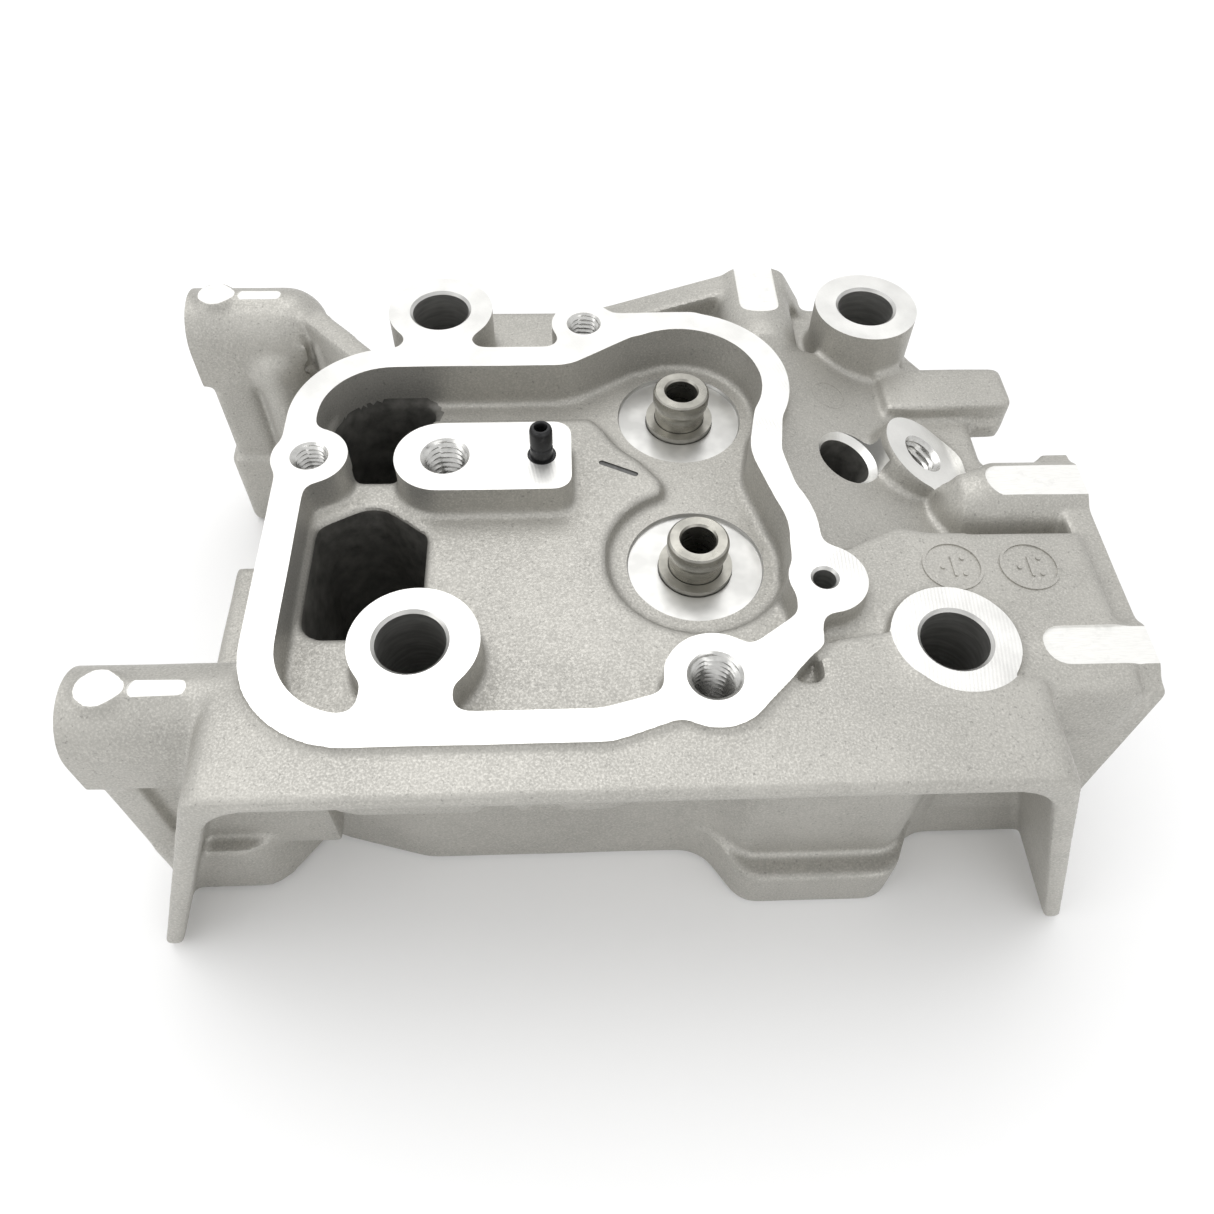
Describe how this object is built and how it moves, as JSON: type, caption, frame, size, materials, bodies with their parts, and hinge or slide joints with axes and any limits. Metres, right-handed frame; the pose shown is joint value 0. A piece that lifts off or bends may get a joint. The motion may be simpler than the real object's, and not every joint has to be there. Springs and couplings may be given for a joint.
{
  "type": "cylinder head",
  "caption": "Bare air-cooled overhead-valve cylinder head: cast body with open rocker box, pressed guides, seats and locating pin, shroud plate and port flanges.",
  "frame": {"origin": "centre of the four head bolts on the gasket face", "axes": "+Z along the cylinder axis towards the rocker cover, +X to the exhaust flange, +Y to the intake flange"},
  "size_m": [0.1688, 0.1215, 0.0651],
  "materials": {
    "cast_aluminium": "rough cast with machined faces",
    "guide_steel": "ground",
    "spring_steel": "oiled",
    "seat_steel": "turned",
    "black_oxide": "black oxide"
  },
  "bodies": {
    "root": {"head_casting": "cast_aluminium", "intake_valve_guide": "guide_steel", "exhaust_valve_guide": "guide_steel", "intake_guide_collar": "spring_steel", "exhaust_guide_collar": "spring_steel", "intake_valve_seat": "seat_steel", "exhaust_valve_seat": "seat_steel", "rocker_locating_pin": "black_oxide"}
  },
  "joints": []
}
